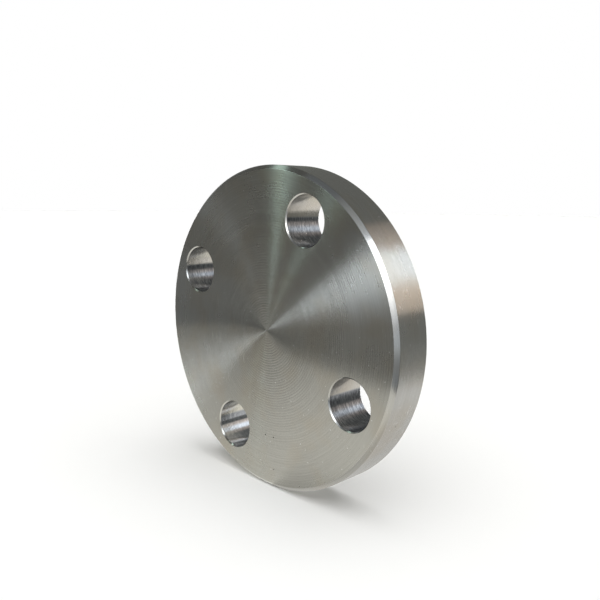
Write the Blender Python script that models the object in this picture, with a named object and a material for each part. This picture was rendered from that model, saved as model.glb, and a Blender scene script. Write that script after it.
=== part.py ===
"""Blind flange: a plain stainless-steel disc, flat on both faces, with four bolt holes and no bore.

The gasket face lies in the plane y = 0 and looks towards -Y. The disc runs back from it towards +Y,
standing on its rim, with +Z up. The origin is the centre of the gasket face.
"""

import math

import bmesh
import bpy

# Driving dimensions, in metres: the standard blind flange for a 20 mm pipe
DISC_DIAMETER = 0.100
DISC_THICKNESS = 0.014
BOLT_CIRCLE_DIAMETER = 0.075
BOLT_HOLE_DIAMETER = 0.015
BOLT_HOLE_COUNT = 4

# Edges broken at 45 degrees: the turned chamfer round each face, and the deburred hole mouths
RIM_CHAMFER = 0.0012
HOLE_CHAMFER = 0.00035

# The disc rests a little turned on its rim: the angle of the first hole from +X, towards +Z
FIRST_HOLE_ANGLE = math.radians(65.0)

RIM_SEGMENTS = 120
HOLE_SEGMENTS = 40
CUTTER_OVERRUN = 0.002
SMOOTH_ANGLE = math.radians(30.0)


def clear_scene():
    for obj in list(bpy.data.objects):
        bpy.data.objects.remove(obj, do_unlink=True)


def turned_stainless():
    """Plain turned stainless steel: bare metal, fine tool marks, satin to bright."""
    material = bpy.data.materials.new("turned_stainless")
    material.use_nodes = True
    shader = material.node_tree.nodes["Principled BSDF"]
    shader.inputs["Base Color"].default_value = (0.60, 0.59, 0.56, 1.0)
    shader.inputs["Metallic"].default_value = 1.0
    shader.inputs["Roughness"].default_value = 0.28
    return material


def ring(bm, radius, y, segments, centre):
    """One ring of vertices about a line along Y through centre, an (x, z) pair."""
    verts = []
    for step in range(segments):
        angle = 2.0 * math.pi * step / segments
        x = centre[0] + radius * math.cos(angle)
        z = centre[1] + radius * math.sin(angle)
        verts.append(bm.verts.new((x, y, z)))
    return verts


def turned_solid(name, profile, segments, centre=(0.0, 0.0)):
    """A closed solid turned about a line along Y, from a profile of (radius, y) points."""
    bm = bmesh.new()
    rings = [ring(bm, radius, y, segments, centre) for radius, y in profile]
    for near, far in zip(rings, rings[1:]):
        for step in range(segments):
            after = (step + 1) % segments
            bm.faces.new((near[step], near[after], far[after], far[step]))
    bm.faces.new(rings[0])
    bm.faces.new(rings[-1])
    bmesh.ops.recalc_face_normals(bm, faces=bm.faces)
    mesh = bpy.data.meshes.new(name)
    bm.to_mesh(mesh)
    bm.free()
    obj = bpy.data.objects.new(name, mesh)
    bpy.context.scene.collection.objects.link(obj)
    return obj


def disc_blank():
    """The turned disc before drilling, with a chamfer round each face."""
    radius = DISC_DIAMETER / 2
    face_radius = radius - RIM_CHAMFER
    profile = [
        (face_radius, 0.0),
        (radius, RIM_CHAMFER),
        (radius, DISC_THICKNESS - RIM_CHAMFER),
        (face_radius, DISC_THICKNESS),
    ]
    return turned_solid("flange_disc", profile, RIM_SEGMENTS)


def hole_centre(index):
    angle = FIRST_HOLE_ANGLE + 2.0 * math.pi * index / BOLT_HOLE_COUNT
    pitch_radius = BOLT_CIRCLE_DIAMETER / 2
    return pitch_radius * math.cos(angle), pitch_radius * math.sin(angle)


def hole_cutter(index):
    """The drill and its countersinks as one solid, flared at 45 degrees past both faces."""
    radius = BOLT_HOLE_DIAMETER / 2
    flared_radius = radius + HOLE_CHAMFER + CUTTER_OVERRUN
    profile = [
        (flared_radius, -CUTTER_OVERRUN),
        (radius, HOLE_CHAMFER),
        (radius, DISC_THICKNESS - HOLE_CHAMFER),
        (flared_radius, DISC_THICKNESS + CUTTER_OVERRUN),
    ]
    cutter = turned_solid(f"hole_cutter_{index + 1}", profile, HOLE_SEGMENTS, hole_centre(index))
    cutter.hide_render = True
    cutter.display_type = "WIRE"
    return cutter


def drill(disc, cutter):
    hole = disc.modifiers.new(cutter.name, "BOOLEAN")
    hole.operation = "DIFFERENCE"
    hole.solver = "EXACT"
    hole.object = cutter


def apply_holes(disc, cutters):
    """Turns the cut shape into the disc's own mesh, so that its edges can be shaded by angle."""
    depsgraph = bpy.context.evaluated_depsgraph_get()
    drilled = bpy.data.meshes.new_from_object(disc.evaluated_get(depsgraph))
    disc.modifiers.clear()
    disc.data = drilled
    drilled.name = disc.name
    for cutter in cutters:
        bpy.data.objects.remove(cutter, do_unlink=True)


def shade_round(disc):
    """Shades the rim and hole walls round and keeps the chamfers' edges crisp."""
    disc.data.shade_smooth()
    disc.data.set_sharp_from_angle(angle=SMOOTH_ANGLE)


def build_flange():
    disc = disc_blank()
    cutters = [hole_cutter(index) for index in range(BOLT_HOLE_COUNT)]
    for cutter in cutters:
        drill(disc, cutter)
    apply_holes(disc, cutters)
    disc.data.materials.clear()
    disc.data.materials.append(turned_stainless())
    shade_round(disc)


clear_scene()
build_flange()
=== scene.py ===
"""The looks of the blind flange: one turned, drilled and deburred stainless-steel disc.

The piece is modelled as the lathe and the drill leave it: concentric tool grooves on both faces and
the rim, a chamfer round each face, and drilled holes with a broken edge. It stands on a plain pale
floor between soft panels.
"""

import math
import random
from collections import namedtuple

import bmesh
import bpy
from mathutils import Matrix, Vector


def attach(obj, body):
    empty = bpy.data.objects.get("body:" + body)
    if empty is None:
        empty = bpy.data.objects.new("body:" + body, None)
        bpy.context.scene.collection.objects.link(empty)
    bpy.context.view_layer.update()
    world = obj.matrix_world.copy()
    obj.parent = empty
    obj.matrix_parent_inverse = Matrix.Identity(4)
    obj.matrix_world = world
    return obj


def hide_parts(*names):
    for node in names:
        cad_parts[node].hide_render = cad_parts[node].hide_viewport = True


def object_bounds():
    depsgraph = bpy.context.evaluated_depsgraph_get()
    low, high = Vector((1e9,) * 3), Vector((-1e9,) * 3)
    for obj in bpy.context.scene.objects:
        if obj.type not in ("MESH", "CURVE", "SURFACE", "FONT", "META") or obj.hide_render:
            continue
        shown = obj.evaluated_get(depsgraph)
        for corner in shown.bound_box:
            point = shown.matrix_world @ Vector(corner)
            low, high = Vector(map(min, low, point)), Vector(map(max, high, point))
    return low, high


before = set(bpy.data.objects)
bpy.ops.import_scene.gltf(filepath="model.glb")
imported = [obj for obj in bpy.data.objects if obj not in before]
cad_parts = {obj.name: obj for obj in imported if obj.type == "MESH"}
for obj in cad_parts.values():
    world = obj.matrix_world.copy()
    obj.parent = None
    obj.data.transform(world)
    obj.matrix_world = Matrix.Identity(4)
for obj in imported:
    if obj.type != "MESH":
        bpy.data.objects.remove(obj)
cad_low, cad_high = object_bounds()

# The disc, from the frame
RADIUS = (cad_high.x - cad_low.x) / 2
THICKNESS = cad_high.y - cad_low.y
CENTRE_X = (cad_high.x + cad_low.x) / 2
CENTRE_Z = (cad_high.z + cad_low.z) / 2
FACE_Y = cad_low.y
FLOOR_Z = cad_low.z

# Sizes that the record's words give, in metres
RIM_CHAMFER = 0.0012
BOLT_CIRCLE_RADIUS = 0.0375
BOLT_HOLE_RADIUS = 0.0075
BOLT_HOLE_COUNT = 4
FIRST_HOLE_ANGLE = math.radians(65.0)
HOLE_CHAMFER = 0.00035

# The softness that deburring leaves on the chamfers' corners, in metres
EDGE_ROUND = 0.00018

# Tool marks, in metres
FACE_GROOVE_PITCH = 0.00078
FACE_GROOVE_DEPTH = 0.000007
RIM_GROOVE_PITCH = 0.00045
RIM_GROOVE_DEPTH = 0.000004
BORE_RING_PITCH = 0.0006
BORE_RING_DEPTH = 0.000010
BORE_HELIX_PITCH = 0.0031

# How far the drills reach past the faces, in metres
DRILL_OVERRUN = 0.001

# How finely the disc is modelled
SEGMENTS = 180
BORE_SEGMENTS = 72
SMOOTH_ANGLE = math.radians(22.0)

FACE_SLOT, RIM_SLOT, EDGE_SLOT, BORE_SLOT = range(4)

# The camera, seen from the centre of the face
FACE_CENTRE = Vector((CENTRE_X, FACE_Y, CENTRE_Z))
CAMERA_AZIMUTH = math.radians(48.12)
CAMERA_ELEVATION = math.radians(11.70)
CAMERA_DISTANCE = 4.136 * RADIUS
TO_CAMERA = Vector((
    math.sin(CAMERA_AZIMUTH) * math.cos(CAMERA_ELEVATION),
    -math.cos(CAMERA_AZIMUTH) * math.cos(CAMERA_ELEVATION),
    math.sin(CAMERA_ELEVATION),
))
CAMERA_AIM = FACE_CENTRE + Vector((0.290 * RADIUS, 0.0, 0.224 * RADIUS))
CAMERA_ROLL = math.radians(0.59)
SENSOR_WIDTH = 36.0
LENS = 40.33
CLIP_NEAR = 0.01
CLIP_FAR = 50.0

# The stage
BACKDROP_RADIUS = 60 * RADIUS
SUN_STRENGTH = 1.7
SUN_WIDTH = math.radians(80.0)
SUN_TILT = (math.radians(8.0), math.radians(12.0), 0.0)
SHEET_LIFT = 0.0002
PATCH_STEPS = 8

# Hues of the studio's lights
WHITE = (0.92, 0.96, 1.0)
COOL = (0.85, 0.94, 1.0)
WARM = (1.0, 0.87, 0.765)
GREEN = (0.76, 1.0, 0.90)
BLUE = (0.88, 0.95, 1.0)
CREAM = (1.0, 0.995, 0.92)
IVORY = (1.0, 0.985, 0.96)

# How finely the steel's marks are drawn, in marks for each metre
FILM_SCALE = 46.0
STAIN_SCALE = 75.0
PIT_SCALE = 260.0
DUST_SCALE = 520.0
BAND_SCALE = 420.0
ARC_SCALE = 2600.0
BORE_ARC_SCALE = 600.0
SCUFF_SCALE = (1900.0, 900.0, 240.0)
# ...and for each radian round the disc
DISC_ARC_SCALE = 3.0

# How far the film makes the lines on the rim and in the holes wander, in metres
LINE_WANDER = 0.0015

# What lies on the steel, and the painted bluish reflection and painted shade of the holes' lower walls
SCUFF_COLOUR = (0.92, 0.91, 0.89)
PIT_COLOUR = (0.16, 0.15, 0.13)
DUST_COLOUR = (1.0, 1.0, 1.0)
# A painted bluish reflection and a painted shade, both for the lower walls of the holes
PAINTED_SHEEN_COLOUR = (0.74, 0.77, 0.80)
PAINTED_SHADE_COLOUR = (0.20, 0.21, 0.23)
# The third hole's share of roughness and of painted shade on its lower wall
THIRD_HOLE_SHARE = 0.55

draw = random.Random(20)


# ---------------------------------------------------------------- shape

def rounded_corner(before, corner, after, radius, steps=3):
    """The points of an arc that rounds one corner of a profile."""
    to_before = (before - corner).normalized()
    to_after = (after - corner).normalized()
    half = to_before.angle(to_after) / 2
    reach = radius / math.tan(half)
    start = corner + to_before * reach
    end = corner + to_after * reach
    hub = corner + (to_before + to_after).normalized() * (radius / math.sin(half))
    points = []
    for step in range(steps + 1):
        share = step / steps
        spoke = (start.lerp(end, share) - hub).normalized() * radius
        points.append(hub + spoke)
    return points


def grooved(start, end, pitch, depth):
    """Points along a straight stretch of profile, cut into shallow grooves on its right-hand side."""
    along = end - start
    inward = Vector((-along.y, along.x)).normalized()
    halves = max(2, 2 * round(along.length / pitch))
    points = []
    for step in range(halves + 1):
        point = start.lerp(end, step / halves)
        if step % 2:
            point = point + inward * depth * draw.uniform(0.55, 1.0)
        points.append(point)
    return points


def disc_profile():
    """The turned outline as (radius, y) points with a material slot for the band that follows each."""
    front = FACE_Y
    back = FACE_Y + THICKNESS
    face_radius = RADIUS - RIM_CHAMFER
    corners = [
        Vector((0.0, front)),
        Vector((face_radius, front)),
        Vector((RADIUS, front + RIM_CHAMFER)),
        Vector((RADIUS, back - RIM_CHAMFER)),
        Vector((face_radius, back)),
        Vector((0.0, back)),
    ]
    arcs = [
        rounded_corner(corners[i - 1], corners[i], corners[i + 1], EDGE_ROUND)
        for i in range(1, 5)
    ]
    profile = []

    def add(points, slot):
        profile.extend((point, slot) for point in points)

    add(grooved(corners[0], arcs[0][0], FACE_GROOVE_PITCH, FACE_GROOVE_DEPTH)[1:-1], FACE_SLOT)
    add(arcs[0], EDGE_SLOT)
    add(arcs[1], EDGE_SLOT)
    profile[-1] = (profile[-1][0], RIM_SLOT)
    add(grooved(arcs[1][-1], arcs[2][0], RIM_GROOVE_PITCH, RIM_GROOVE_DEPTH)[1:-1], RIM_SLOT)
    add(arcs[2], EDGE_SLOT)
    add(arcs[3], EDGE_SLOT)
    profile[-1] = (profile[-1][0], FACE_SLOT)
    add(grooved(arcs[3][-1], corners[5], FACE_GROOVE_PITCH, FACE_GROOVE_DEPTH)[1:-1], FACE_SLOT)
    return profile


def turned_disc():
    """The disc before drilling, closed at the centre of each face."""
    bm = bmesh.new()
    profile = disc_profile()
    rings = []
    for point, _ in profile:
        ring = []
        for step in range(SEGMENTS):
            angle = 2 * math.pi * step / SEGMENTS
            x = CENTRE_X + point.x * math.cos(angle)
            z = CENTRE_Z + point.x * math.sin(angle)
            ring.append(bm.verts.new((x, point.y, z)))
        rings.append(ring)
    for (near, (_, slot)), far in zip(zip(rings, profile), rings[1:]):
        for step in range(SEGMENTS):
            after = (step + 1) % SEGMENTS
            face = bm.faces.new((near[step], near[after], far[after], far[step]))
            face.material_index = slot
    for ring, y in ((rings[0], FACE_Y), (rings[-1], FACE_Y + THICKNESS)):
        hub = bm.verts.new((CENTRE_X, y, CENTRE_Z))
        for step in range(SEGMENTS):
            face = bm.faces.new((ring[step], ring[(step + 1) % SEGMENTS], hub))
            face.material_index = FACE_SLOT
    bmesh.ops.recalc_face_normals(bm, faces=bm.faces)
    return mesh_object("flange_steel", bm)


def bore_profile():
    """One drilled hole as (radius, y) points: a flared mouth, a ringed wall and a flared mouth.
    The mouths reach past the faces, so that they cut cleanly."""
    flare = DRILL_OVERRUN
    mouth = BOLT_HOLE_RADIUS + HOLE_CHAMFER
    back = FACE_Y + THICKNESS
    points = [
        Vector((mouth + flare, FACE_Y - flare)),
        Vector((BOLT_HOLE_RADIUS, FACE_Y + HOLE_CHAMFER)),
    ]
    rings = round((THICKNESS - 2 * HOLE_CHAMFER) / BORE_RING_PITCH)
    for step in range(1, 2 * rings):
        y = FACE_Y + HOLE_CHAMFER + (THICKNESS - 2 * HOLE_CHAMFER) * step / (2 * rings)
        points.append(Vector((BOLT_HOLE_RADIUS + BORE_RING_DEPTH * draw.uniform(-1.0, 1.0), y)))
    points.append(Vector((BOLT_HOLE_RADIUS, back - HOLE_CHAMFER)))
    points.append(Vector((mouth + flare, back + flare)))
    return points


def hole_drills():
    """The four drills as one mesh. Its UV map runs round each hole, for the direction of the marks."""
    bm = bmesh.new()
    uv = bm.loops.layers.uv.new("round_bore")
    for index in range(BOLT_HOLE_COUNT):
        turn = FIRST_HOLE_ANGLE + 2 * math.pi * index / BOLT_HOLE_COUNT
        hole_x = CENTRE_X + BOLT_CIRCLE_RADIUS * math.cos(turn)
        hole_z = CENTRE_Z + BOLT_CIRCLE_RADIUS * math.sin(turn)
        profile = bore_profile()
        wobble = draw.uniform(0, 2 * math.pi)
        rings = []
        for point in profile:
            ring = []
            for step in range(BORE_SEGMENTS):
                angle = 2 * math.pi * step / BORE_SEGMENTS
                helix = math.sin(angle + wobble + 2 * math.pi * point.y / BORE_HELIX_PITCH)
                radius = point.x + BORE_RING_DEPTH * 0.5 * helix
                x = hole_x + radius * math.cos(angle)
                z = hole_z + radius * math.sin(angle)
                ring.append(bm.verts.new((x, point.y, z)))
            rings.append(ring)
        for level, (near, far) in enumerate(zip(rings, rings[1:])):
            edge = level in (0, len(rings) - 2)
            for step in range(BORE_SEGMENTS):
                after = (step + 1) % BORE_SEGMENTS
                face = bm.faces.new((near[step], near[after], far[after], far[step]))
                face.material_index = EDGE_SLOT if edge else BORE_SLOT
                ends = (step, step + 1, step + 1, step)
                levels = (level, level, level + 1, level + 1)
                for loop, u, v in zip(face.loops, ends, levels):
                    loop[uv].uv = (u / BORE_SEGMENTS, v / len(rings))
        for ring in (rings[0], rings[-1]):
            bm.faces.new(ring).material_index = BORE_SLOT
    bmesh.ops.recalc_face_normals(bm, faces=bm.faces)
    return mesh_object("hole_drills", bm)


def mesh_object(name, bm):
    mesh = bpy.data.meshes.new(name)
    bm.to_mesh(mesh)
    bm.free()
    obj = bpy.data.objects.new(name, mesh)
    bpy.context.scene.collection.objects.link(obj)
    return obj


def drilled_flange(materials):
    """Cuts the holes and shades the result: round where it is round, crisp at the chamfers."""
    disc = turned_disc()
    disc.data.uv_layers.new(name="round_bore")
    drills = hole_drills()
    for obj in (disc, drills):
        for material in materials:
            obj.data.materials.append(material)
    cut = disc.modifiers.new("holes", "BOOLEAN")
    cut.operation = "DIFFERENCE"
    cut.solver = "EXACT"
    cut.object = drills
    depsgraph = bpy.context.evaluated_depsgraph_get()
    mesh = bpy.data.meshes.new_from_object(disc.evaluated_get(depsgraph))
    disc.modifiers.clear()
    disc.data = mesh
    mesh.name = disc.name
    bpy.data.objects.remove(drills, do_unlink=True)
    mesh.shade_smooth()
    mesh.set_sharp_from_angle(angle=SMOOTH_ANGLE)
    return disc


# ---------------------------------------------------------------- materials

def node(tree, kind, inputs=None, **settings):
    """A new node. Each input is a value for its socket, or another node's output to link."""
    made = tree.nodes.new(kind)
    for name, value in settings.items():
        setattr(made, name, value)
    for key, value in (inputs or {}).items():
        if isinstance(value, bpy.types.NodeSocket):
            tree.links.new(value, made.inputs[key])
        else:
            made.inputs[key].default_value = value
    return made


def maths(tree, operation, first, second=0.0):
    return node(tree, "ShaderNodeMath", {0: first, 1: second}, operation=operation).outputs[0]


def vectors(tree, operation, first, second=(0.0, 0.0, 0.0)):
    return node(tree, "ShaderNodeVectorMath", {0: first, 1: second}, operation=operation).outputs[0]


def stretched(tree, vector, scale):
    return node(tree, "ShaderNodeVectorMath", {0: vector, "Scale": scale}, operation="SCALE").outputs[0]


def rescaled(tree, value, low, high, to_low, to_high):
    made = node(tree, "ShaderNodeMapRange", {
        "Value": value, "From Min": low, "From Max": high, "To Min": to_low, "To Max": to_high})
    return made.outputs[0]


def mixed(tree, share, below, above):
    """The colour below, with a share of the colour above over it. Either may be a node's output."""
    ends = [end if isinstance(end, bpy.types.NodeSocket) else (*end, 1.0) for end in (below, above)]
    return node(tree, "ShaderNodeMix", {0: share, 6: ends[0], 7: ends[1]}, data_type="RGBA").outputs[2]


def noise(tree, place, scale, detail, roughness=0.5, distortion=0.0):
    return node(tree, "ShaderNodeTexNoise", {
        "Vector": place, "Scale": scale, "Detail": detail, "Roughness": roughness,
        "Distortion": distortion}).outputs[0]


def dots(tree, place, scale, size, channel, threshold):
    """Small round dots in some cells of a pattern. size is where a dot starts and ends to fade."""
    cells = node(tree, "ShaderNodeTexVoronoi", {"Vector": place, "Scale": scale, "Randomness": 1.0})
    dot = rescaled(tree, cells.outputs["Distance"], *size, 1.0, 0.0)
    draw_of_cell = node(tree, "ShaderNodeSeparateColor", {0: cells.outputs["Color"]}).outputs[channel]
    return maths(tree, "MULTIPLY", dot, maths(tree, "GREATER_THAN", draw_of_cell, threshold))


# place is a point of the disc and side the way across its tool lines. across counts the lines, in
# metres. film is faint cloudy handling marks, bands is how the cut changed slowly as the tool
# travelled, and arcs is short scratches that run with the lines.
Marks = namedtuple("Marks", "place side across film bands arcs")


def tool_marks(tree, along, in_bore):
    """The patterns that all of one material's layers share."""
    place = node(tree, "ShaderNodeTexCoord").outputs["Object"]
    offset = vectors(tree, "MULTIPLY", place, (1.0, 0.0, 1.0))
    spoke = vectors(tree, "NORMALIZE", offset)
    film = noise(tree, place, FILM_SCALE, detail=4.0, roughness=0.55, distortion=0.4)
    if along == "radius":
        side = spoke
        across = node(tree, "ShaderNodeVectorMath", {0: offset}, operation="LENGTH").outputs["Value"]
    else:
        side = node(tree, "ShaderNodeCombineXYZ", {"Y": 1.0}).outputs[0]
        depth = node(tree, "ShaderNodeSeparateXYZ", {0: place}).outputs["Y"]
        across = maths(tree, "ADD", depth, maths(tree, "MULTIPLY", film, LINE_WANDER))
    bands = node(tree, "ShaderNodeTexNoise", {
        "W": maths(tree, "MULTIPLY", across, BAND_SCALE), "Scale": 1.0, "Detail": 4.0, "Roughness": 0.6},
        noise_dimensions="1D").outputs[0]
    if in_bore:
        run = stretched(tree, offset, BORE_ARC_SCALE)
    else:
        run = stretched(tree, spoke, DISC_ARC_SCALE)
    step = node(tree, "ShaderNodeCombineXYZ", {"Y": maths(tree, "MULTIPLY", across, ARC_SCALE)}).outputs[0]
    arcs = noise(tree, vectors(tree, "ADD", run, step), 1.0, detail=3.0, roughness=0.55)
    return Marks(place, side, across, film, bands, arcs)


def toned(tree, marks, tint, shade, even):
    """The bare steel, from shade to tint."""
    banded = maths(tree, "MULTIPLY", marks.bands, 0.15)
    scratched = maths(tree, "MULTIPLY", marks.arcs, 0.55)
    clouded = maths(tree, "MULTIPLY", marks.film, 0.3)
    tone = maths(tree, "ADD", maths(tree, "ADD", banded, scratched), clouded)
    tone = rescaled(tree, tone, 0.5 - even, 0.5 + even, 0.0, 1.0)
    return mixed(tree, tone, shade, tint)


def warmer(colour):
    """The colour with a little more red and less blue."""
    red, green, blue = colour
    return (red * 1.07, green * 1.0, blue * 0.91)


def stains(tree, marks):
    """Faint warm patches."""
    patches = noise(tree, marks.place, STAIN_SCALE, detail=2.0)
    return rescaled(tree, patches, 0.46, 0.68, 0.0, 0.6)


def scuffs(tree, marks):
    """Short upright scratches from handling, in loose patches."""
    hairs = noise(tree, vectors(tree, "MULTIPLY", marks.place, SCUFF_SCALE), 1.0, detail=2.0)
    where = rescaled(tree, marks.film, 0.42, 0.60, 0.0, 1.0)
    return maths(tree, "MULTIPLY", rescaled(tree, hairs, 0.64, 0.76, 0.0, 0.6), where)


def hole_wear_and_painted_shade(tree, marks):
    """How rough a hole's wall is and how much painted shade its lower wall gets: 1, and less in the third
    hole round, which is shinier and less shaded.
    """
    third = Vector((-math.cos(FIRST_HOLE_ANGLE), 0.0, -math.sin(FIRST_HOLE_ANGLE)))
    reach = node(tree, "ShaderNodeVectorMath", {0: marks.place, 1: third}, operation="DOT_PRODUCT")
    return rescaled(tree, reach.outputs["Value"],
                    0.3 * BOLT_CIRCLE_RADIUS, 0.7 * BOLT_CIRCLE_RADIUS, 1.0, THIRD_HOLE_SHARE)


def with_painted_wall_shade(tree, colour, marks, normal, shade_share):
    """The colour with a painted bluish reflection and painted shade over it where the wall doesn't face
    down, its lower half. The painted shade is thinner over the arcs, which stay lighter as painted streaks
    of reflection.
    """
    upward = node(tree, "ShaderNodeSeparateXYZ", {0: normal}).outputs["Z"]
    facing_up = rescaled(tree, upward, -0.14, -0.05, 0.0, 1.0)
    between = rescaled(tree, marks.arcs, 0.42, 0.76, 1.0, 0.40)
    shaded = maths(tree, "MULTIPLY", maths(tree, "MULTIPLY", facing_up, between), shade_share)
    return mixed(tree, shaded, mixed(tree, facing_up, colour, PAINTED_SHEEN_COLOUR), PAINTED_SHADE_COLOUR)


def roughened(tree, marks, roughness, wear, pits):
    """The roughness, a tenth up or down with the film and the bands, and dull in the pits."""
    clouded = maths(tree, "MULTIPLY", marks.film, 0.8)
    banded = maths(tree, "MULTIPLY", marks.bands, 0.2)
    rough = rescaled(tree, maths(tree, "ADD", clouded, banded), 0.3, 0.7, roughness * 0.9, roughness * 1.1)
    rough = maths(tree, "MULTIPLY", rough, wear)
    return maths(tree, "ADD", rough, maths(tree, "MULTIPLY", pits, 0.2))


def cusped(tree, marks, normal, pitch, cusp_slope):
    """The normal, tipped as a round-nosed tool leaves it: from side to side over each feed."""
    feed = maths(tree, "FRACT", maths(tree, "DIVIDE", marks.across, pitch))
    slope = maths(tree, "MULTIPLY", maths(tree, "SUBTRACT", feed, 0.5), 2 * cusp_slope)
    tipped = vectors(tree, "ADD", normal, stretched(tree, marks.side, slope))
    tipped = vectors(tree, "NORMALIZE", tipped)
    return node(tree, "ShaderNodeBump", {
        "Height": marks.arcs, "Strength": 0.35, "Distance": 0.00001, "Normal": tipped}).outputs[0]


def steel(name, tint, shade, roughness, anisotropy, tangent,
          along, pitch, cusp_slope, even, in_bore=False):
    """Machined stainless steel. along is 'radius' or 'depth': what the tool lines are counted by.
    even is how even its tone is: the smaller, the more the lines stand out. in_bore is for the wall of
    a hole, whose lower wall gets a painted bluish reflection and painted shade."""
    material = bpy.data.materials.new(name)
    material.use_nodes = True
    tree = material.node_tree
    shader = tree.nodes["Principled BSDF"]
    shader.inputs["Metallic"].default_value = 1.0
    shader.inputs["Anisotropic"].default_value = anisotropy
    shader.inputs["Anisotropic Rotation"].default_value = 0.25

    marks = tool_marks(tree, along, in_bore)
    normal = node(tree, "ShaderNodeNewGeometry").outputs["Normal"]
    pits = dots(tree, marks.place, PIT_SCALE, size=(0.05, 0.09), channel=0, threshold=0.86)
    dust = dots(tree, marks.place, DUST_SCALE, size=(0.06, 0.10), channel=1, threshold=0.72)
    # wear multiplies the roughness: the third hole is shinier, and the face duller towards its rim. In a
    # hole it also sets the share of painted shade on the lower wall
    if in_bore:
        wear = hole_wear_and_painted_shade(tree, marks)
    elif along == "radius":
        wear = rescaled(tree, marks.across, 0.0, RADIUS, 0.91, 1.09)
    else:
        wear = 1.0

    colour = toned(tree, marks, tint, shade, even)
    colour = mixed(tree, stains(tree, marks), colour, warmer(shade))
    colour = mixed(tree, scuffs(tree, marks), colour, SCUFF_COLOUR)
    # In a hole, a painted bluish reflection and painted shade on the lower wall
    if in_bore:
        colour = with_painted_wall_shade(tree, colour, marks, normal, shade_share=wear)
    colour = mixed(tree, dust, colour, DUST_COLOUR)
    colour = mixed(tree, maths(tree, "MULTIPLY", pits, 0.5), colour, PIT_COLOUR)

    tree.links.new(tangent(tree), shader.inputs["Tangent"])
    tree.links.new(colour, shader.inputs["Base Color"])
    tree.links.new(roughened(tree, marks, roughness, wear, pits), shader.inputs["Roughness"])
    tree.links.new(cusped(tree, marks, normal, pitch, cusp_slope), shader.inputs["Normal"])
    return material


def round_the_disc(tree):
    return node(tree, "ShaderNodeTangent", direction_type="RADIAL", axis="Y").outputs[0]


def round_the_bore(tree):
    return node(tree, "ShaderNodeTangent", direction_type="UV_MAP", uv_map="round_bore").outputs[0]


def turned_face():
    return steel("turned_face", tint=(0.66, 0.65, 0.62), shade=(0.56, 0.55, 0.52),
                 roughness=0.255, anisotropy=1.0, tangent=round_the_disc,
                 along="radius", pitch=FACE_GROOVE_PITCH, cusp_slope=0.075, even=0.16)


def turned_rim():
    return steel("turned_rim", tint=(0.68, 0.68, 0.655), shade=(0.58, 0.58, 0.555),
                 roughness=0.26, anisotropy=0.95, tangent=round_the_disc,
                 along="depth", pitch=RIM_GROOVE_PITCH, cusp_slope=0.15, even=0.14)


def broken_edge():
    return steel("broken_edge", tint=(0.74, 0.73, 0.71), shade=(0.66, 0.65, 0.63),
                 roughness=0.20, anisotropy=0.6, tangent=round_the_disc,
                 along="depth", pitch=RIM_GROOVE_PITCH, cusp_slope=0.05, even=0.14)


def drilled_bore():
    return steel("drilled_bore", tint=(0.83, 0.80, 0.74), shade=(0.66, 0.64, 0.59),
                 roughness=0.28, anisotropy=0.8, tangent=round_the_bore,
                 along="depth", pitch=BORE_RING_PITCH, cusp_slope=0.12, even=0.12, in_bore=True)


# ---------------------------------------------------------------- stage

def emission(name, colour, strength):
    material = bpy.data.materials.new(name)
    material.use_nodes = True
    tree = material.node_tree
    tree.nodes.clear()
    glow = node(tree, "ShaderNodeEmission", {"Color": (*colour, 1.0), "Strength": strength})
    out = node(tree, "ShaderNodeOutputMaterial")
    tree.links.new(glow.outputs[0], out.inputs["Surface"])
    return material


def panel(name, rows, stops):
    """A curved panel of the studio, out of the picture itself. rows holds rows of corner points, and
    stops its light from the first row to the last: share of the way, hue and strength."""
    bm = bmesh.new()
    uv = bm.loops.layers.uv.new("across")
    grid = [[bm.verts.new(point) for point in row] for row in rows]
    for i in range(len(grid) - 1):
        for j in range(len(grid[0]) - 1):
            corners = ((i, j), (i + 1, j), (i + 1, j + 1), (i, j + 1))
            face = bm.faces.new([grid[p][q] for p, q in corners])
            for loop, (p, q) in zip(face.loops, corners):
                loop[uv].uv = (p / (len(grid) - 1), q / (len(grid[0]) - 1))
    obj = mesh_object(name, bm)
    obj.data.materials.append(glow(name, stops))
    obj.visible_camera = False
    obj.visible_diffuse = False
    obj.visible_shadow = False


def blended(tree, share, stops):
    """The light at share of the way along stops."""
    ramp = node(tree, "ShaderNodeValToRGB", {0: share})
    elements = ramp.color_ramp.elements
    while len(elements) < len(stops):
        elements.new(1.0)
    for element, (position, hue, strength) in zip(elements, stops):
        element.position = position
        element.color = (*(channel * strength for channel in hue), 1.0)
    return ramp.outputs[0]


def glow(name, stops):
    """Plain light that goes from stop to stop across a panel."""
    material = bpy.data.materials.new(name)
    material.use_nodes = True
    tree = material.node_tree
    tree.nodes.clear()
    across = node(tree, "ShaderNodeUVMap", uv_map="across").outputs[0]
    share = node(tree, "ShaderNodeSeparateXYZ", {0: across}).outputs["X"]
    light = node(tree, "ShaderNodeEmission", {"Color": blended(tree, share, stops), "Strength": 1.0})
    out = node(tree, "ShaderNodeOutputMaterial")
    tree.links.new(light.outputs[0], out.inputs["Surface"])
    return material


def mirrored(turn, lean):
    """Where steel at the face's centre looks, as the camera sees it: lean tips it from facing
    out of the face (0) to facing along the rim (90 degrees), towards turn, an angle from +X to +Z."""
    normal = Vector((math.sin(lean) * math.cos(turn), -math.cos(lean), math.sin(lean) * math.sin(turn)))
    return 2 * normal.dot(TO_CAMERA) * normal - TO_CAMERA


def light_patch(name, turns, leans, distance, stops):
    """A light that steel between these turns and leans, in degrees, reflects to the camera."""
    rows = []
    for i in range(PATCH_STEPS + 1):
        turn = math.radians(turns[0] + (turns[1] - turns[0]) * i / PATCH_STEPS)
        row = []
        for j in range(PATCH_STEPS + 1):
            lean = math.radians(leans[0] + (leans[1] - leans[0]) * j / PATCH_STEPS)
            row.append(FACE_CENTRE + mirrored(turn, lean) * distance)
        rows.append(row)
    panel(name, rows, stops)


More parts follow.
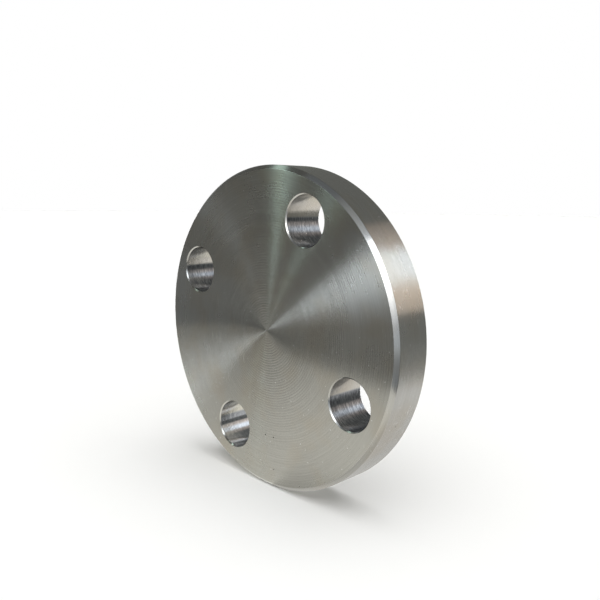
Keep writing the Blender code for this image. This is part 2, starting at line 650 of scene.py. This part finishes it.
def windows():
    """The window behind the camera's right shoulder, and the one beyond the disc on the right."""
    near = CAMERA_DISTANCE
    middle = 2 * CAMERA_DISTANCE
    far = 3 * CAMERA_DISTANCE
    # White on the chamfer
    light_patch("window_edge", turns=(9, 36.5), leans=(42, 60), distance=near, stops=[
        (0.0, WHITE, 0.42), (0.28, WHITE, 1.35), (0.6, WHITE, 3.0), (1.0, WHITE, 3.0)])
    # Two broad fans on the face
    light_patch("window_front", turns=(12.5, 38), leans=(17, 42), distance=middle, stops=[
        (0.0, COOL, 0.2), (0.30, COOL, 0.9), (0.56, COOL, 2.4), (1.0, COOL, 2.4)])
    # On the rim, warm at its edges
    light_patch("window_back", turns=(13, 44), leans=(78, 100), distance=far, stops=[
        (0.0, WARM, 0.75), (0.22, WARM, 1.15), (0.40, WHITE, 1.85),
        (0.60, WHITE, 1.75), (0.74, WARM, 0.70), (1.0, WARM, 0.30)])


def tubes():
    """Two tubes high on the left, and the first one's glint on the chamfer."""
    middle = 2 * CAMERA_DISTANCE
    light_patch("tube_high", turns=(80, 85.5), leans=(18, 44), distance=middle, stops=[
        (0.0, GREEN, 1.6), (1.0, GREEN, 1.4)])
    light_patch("tube_glint", turns=(79.5, 84.5), leans=(46, 64), distance=middle, stops=[
        (0.0, GREEN, 0.72), (1.0, GREEN, 0.72)])
    light_patch("tube_low", turns=(61.5, 66), leans=(14, 36), distance=middle, stops=[
        (0.0, GREEN, 1.0), (1.0, GREEN, 0.9)])


def pale_walls():
    """Faint cool light: on the chamfer above and below the window, and on the face from the left."""
    near = CAMERA_DISTANCE
    light_patch("cool_below", turns=(-9, 9), leans=(42, 60), distance=near, stops=[
        (0.0, BLUE, 0.20), (0.50, BLUE, 0.26), (0.70, BLUE, 0.49), (1.0, BLUE, 0.56)])
    light_patch("cool_above", turns=(36.5, 68), leans=(42, 60), distance=near, stops=[
        (0.0, BLUE, 0.56), (0.35, BLUE, 0.32), (0.60, BLUE, 0.16), (1.0, BLUE, 0.15)])
    light_patch("wall_left", turns=(104, 113), leans=(16, 44), distance=near, stops=[
        (0.0, BLUE, 0.24), (1.0, BLUE, 0.24)])
    light_patch("wall_far_left", turns=(127, 176), leans=(10, 44), distance=near, stops=[
        (0.0, BLUE, 0.21), (0.5, BLUE, 0.28), (1.0, BLUE, 0.33)])


def pale_sheets():
    """The pale sheet under the disc, as the steel sees it: darker close in front of its right half."""
    height = FLOOR_Z + SHEET_LIFT
    front, back = -0.11, 0.29
    left, middle, right = -0.26, 0.002, 0.105

    def sheet(name, start, end, stops):
        panel(name, [[(x, y, height) for x in (start, end)] for y in (front, back)], stops)

    sheet("pale_sheet_left", left, middle, [
        (0.0, CREAM, 0.50), (0.10, CREAM, 0.58), (0.16, CREAM, 0.74),
        (0.30, CREAM, 0.76), (1.0, CREAM, 0.84)])
    sheet("pale_sheet_right", middle, right, [
        (0.0, CREAM, 0.56), (0.17, CREAM, 0.66), (0.225, CREAM, 0.67),
        (0.255, CREAM, 0.44), (0.275, CREAM, 0.47), (0.29, IVORY, 0.80),
        (0.32, IVORY, 0.62), (0.50, IVORY, 0.82), (1.0, IVORY, 0.88)])


def pale_floor():
    material = bpy.data.materials.new("pale_floor")
    material.use_nodes = True
    shader = material.node_tree.nodes["Principled BSDF"]
    shader.inputs["Base Color"].default_value = (0.88, 0.88, 0.87, 1.0)
    shader.inputs["Roughness"].default_value = 0.9
    shader.inputs["Specular IOR Level"].default_value = 0.0
    return material


def floor_and_backdrop():
    bm = bmesh.new()
    reach = BACKDROP_RADIUS
    bm.faces.new([
        bm.verts.new((x, y, FLOOR_Z))
        for x, y in ((-reach, -reach), (reach, -reach), (reach, reach), (-reach, reach))
    ])
    floor = mesh_object("floor", bm)
    floor.data.materials.append(pale_floor())
    floor.visible_glossy = False

    bm = bmesh.new()
    bmesh.ops.create_icosphere(bm, subdivisions=4, radius=BACKDROP_RADIUS)
    backdrop = mesh_object("backdrop", bm)
    backdrop.data.materials.append(emission("backdrop", (1.0, 1.0, 1.0), 1.0))
    backdrop.visible_glossy = False
    backdrop.visible_diffuse = False
    backdrop.visible_shadow = False
    backdrop.visible_transmission = False


def lights():
    for name, casts_shadow in (("soft_overhead", True), ("soft_fill", False)):
        sun = bpy.data.lights.new(name, "SUN")
        sun.energy = SUN_STRENGTH
        sun.angle = SUN_WIDTH
        sun.use_shadow = casts_shadow
        lamp = bpy.data.objects.new(name, sun)
        lamp.rotation_euler = SUN_TILT
        lamp.visible_glossy = False
        bpy.context.scene.collection.objects.link(lamp)


def room():
    """The dim room that the steel reflects between the lights: darker high up, paler behind."""
    world = bpy.data.worlds.new("room")
    world.use_nodes = True
    tree = world.node_tree
    direction = node(tree, "ShaderNodeTexCoord").outputs["Generated"]
    toward = node(tree, "ShaderNodeSeparateXYZ", {0: direction}).outputs
    by_height = rescaled(tree, toward["Z"], -0.2, 0.3, 0.125, 0.082)
    behind = rescaled(tree, toward["Y"], 0.1, 0.5, 0.0, 0.09)
    background = tree.nodes["Background"]
    background.inputs["Color"].default_value = (0.99, 1.0, 0.94, 1.0)
    tree.links.new(maths(tree, "ADD", by_height, behind), background.inputs["Strength"])
    bpy.context.scene.world = world


def camera():
    data = bpy.data.cameras.new("camera")
    data.sensor_width = SENSOR_WIDTH
    data.lens = LENS
    data.clip_start = CLIP_NEAR
    data.clip_end = CLIP_FAR
    obj = bpy.data.objects.new("camera", data)
    obj.location = FACE_CENTRE + TO_CAMERA * CAMERA_DISTANCE
    look = (CAMERA_AIM - obj.location).to_track_quat("-Z", "Y")
    obj.rotation_mode = "QUATERNION"
    obj.rotation_quaternion = look @ Matrix.Rotation(CAMERA_ROLL, 4, "Z").to_quaternion()
    bpy.context.scene.collection.objects.link(obj)
    bpy.context.scene.camera = obj


flange = drilled_flange([turned_face(), turned_rim(), broken_edge(), drilled_bore()])
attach(flange, "root")
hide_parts("flange_disc")

windows()
tubes()
pale_walls()
pale_sheets()
floor_and_backdrop()
lights()
room()
camera()
bpy.context.scene.view_settings.view_transform = "Standard"
bpy.context.scene.view_settings.look = "None"
